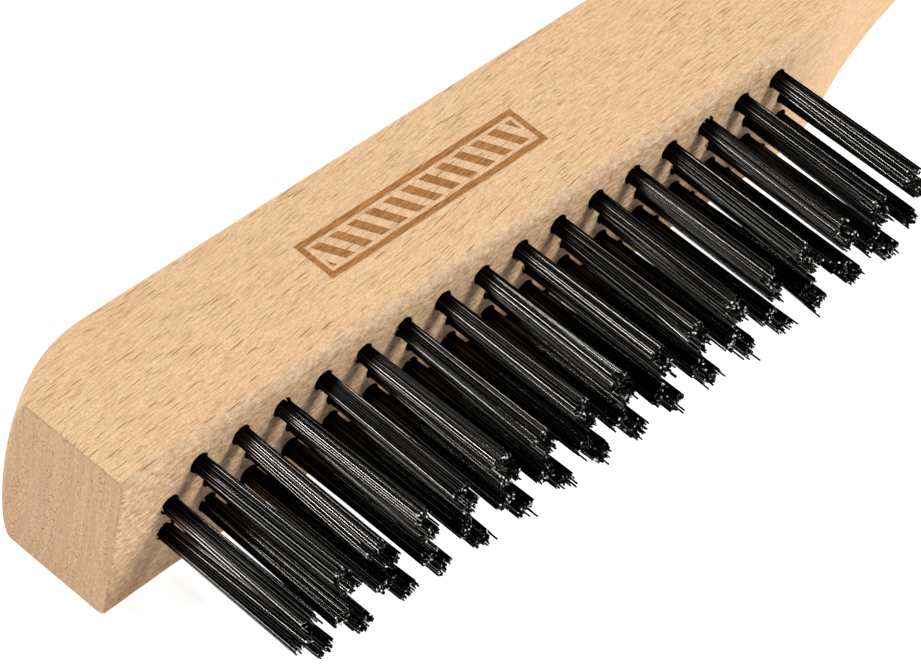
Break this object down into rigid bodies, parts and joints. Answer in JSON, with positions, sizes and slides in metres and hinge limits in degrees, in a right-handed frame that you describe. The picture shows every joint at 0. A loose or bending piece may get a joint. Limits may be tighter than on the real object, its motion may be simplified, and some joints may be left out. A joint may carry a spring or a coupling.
{
  "type": "wire brush",
  "caption": "Hand wire brush: one shaped beech block that is head and handle, with a curved nose, a raised neck, a hang hole and staggered rows of dark steel wire tufts.",
  "frame": {"origin": "bottom centre of the whole brush lying on its side: the middle of its length and of its height over the wires, on the lower side face", "axes": "+X along the block from the nose to the end of the handle, +Y from the bristle face to the crowned back (the wires point to -Y), +Z the normal of the upper side face"},
  "size_m": [0.29, 0.0582, 0.0286],
  "materials": {
    "beech_wood": "bare sanded beech, unvarnished, matt, with fine brown flecks along the grain",
    "steel_wire": "oil-tempered steel wire, near black with a gloss along each wire and bright cut tips"
  },
  "bodies": {
    "root": {"handle_block": "beech_wood", "upper_tuft_01": "steel_wire", "upper_tuft_02": "steel_wire", "upper_tuft_03": "steel_wire", "upper_tuft_04": "steel_wire", "upper_tuft_05": "steel_wire", "upper_tuft_06": "steel_wire", "upper_tuft_07": "steel_wire", "upper_tuft_08": "steel_wire", "upper_tuft_09": "steel_wire", "upper_tuft_10": "steel_wire", "upper_tuft_11": "steel_wire", "upper_tuft_12": "steel_wire", "upper_tuft_13": "steel_wire", "upper_tuft_14": "steel_wire", "upper_tuft_15": "steel_wire", "upper_tuft_16": "steel_wire", "middle_tuft_pair_01": "steel_wire", "middle_tuft_pair_02": "steel_wire", "middle_tuft_pair_03": "steel_wire", "middle_tuft_pair_04": "steel_wire", "middle_tuft_pair_05": "steel_wire", "middle_tuft_pair_06": "steel_wire", "middle_tuft_pair_07": "steel_wire", "middle_tuft_pair_08": "steel_wire", "middle_tuft_pair_09": "steel_wire", "middle_tuft_pair_10": "steel_wire", "middle_tuft_pair_11": "steel_wire", "middle_tuft_pair_12": "steel_wire", "middle_tuft_pair_13": "steel_wire", "middle_tuft_pair_14": "steel_wire", "middle_tuft_pair_15": "steel_wire", "middle_tuft_pair_16": "steel_wire", "middle_tuft_pair_17": "steel_wire", "lower_tuft_01": "steel_wire", "lower_tuft_02": "steel_wire", "lower_tuft_03": "steel_wire", "lower_tuft_04": "steel_wire", "lower_tuft_05": "steel_wire", "lower_tuft_06": "steel_wire", "lower_tuft_07": "steel_wire", "lower_tuft_08": "steel_wire", "lower_tuft_09": "steel_wire", "lower_tuft_10": "steel_wire", "lower_tuft_11": "steel_wire", "lower_tuft_12": "steel_wire", "lower_tuft_13": "steel_wire", "lower_tuft_14": "steel_wire", "lower_tuft_15": "steel_wire", "lower_tuft_16": "steel_wire"}
  },
  "joints": []
}
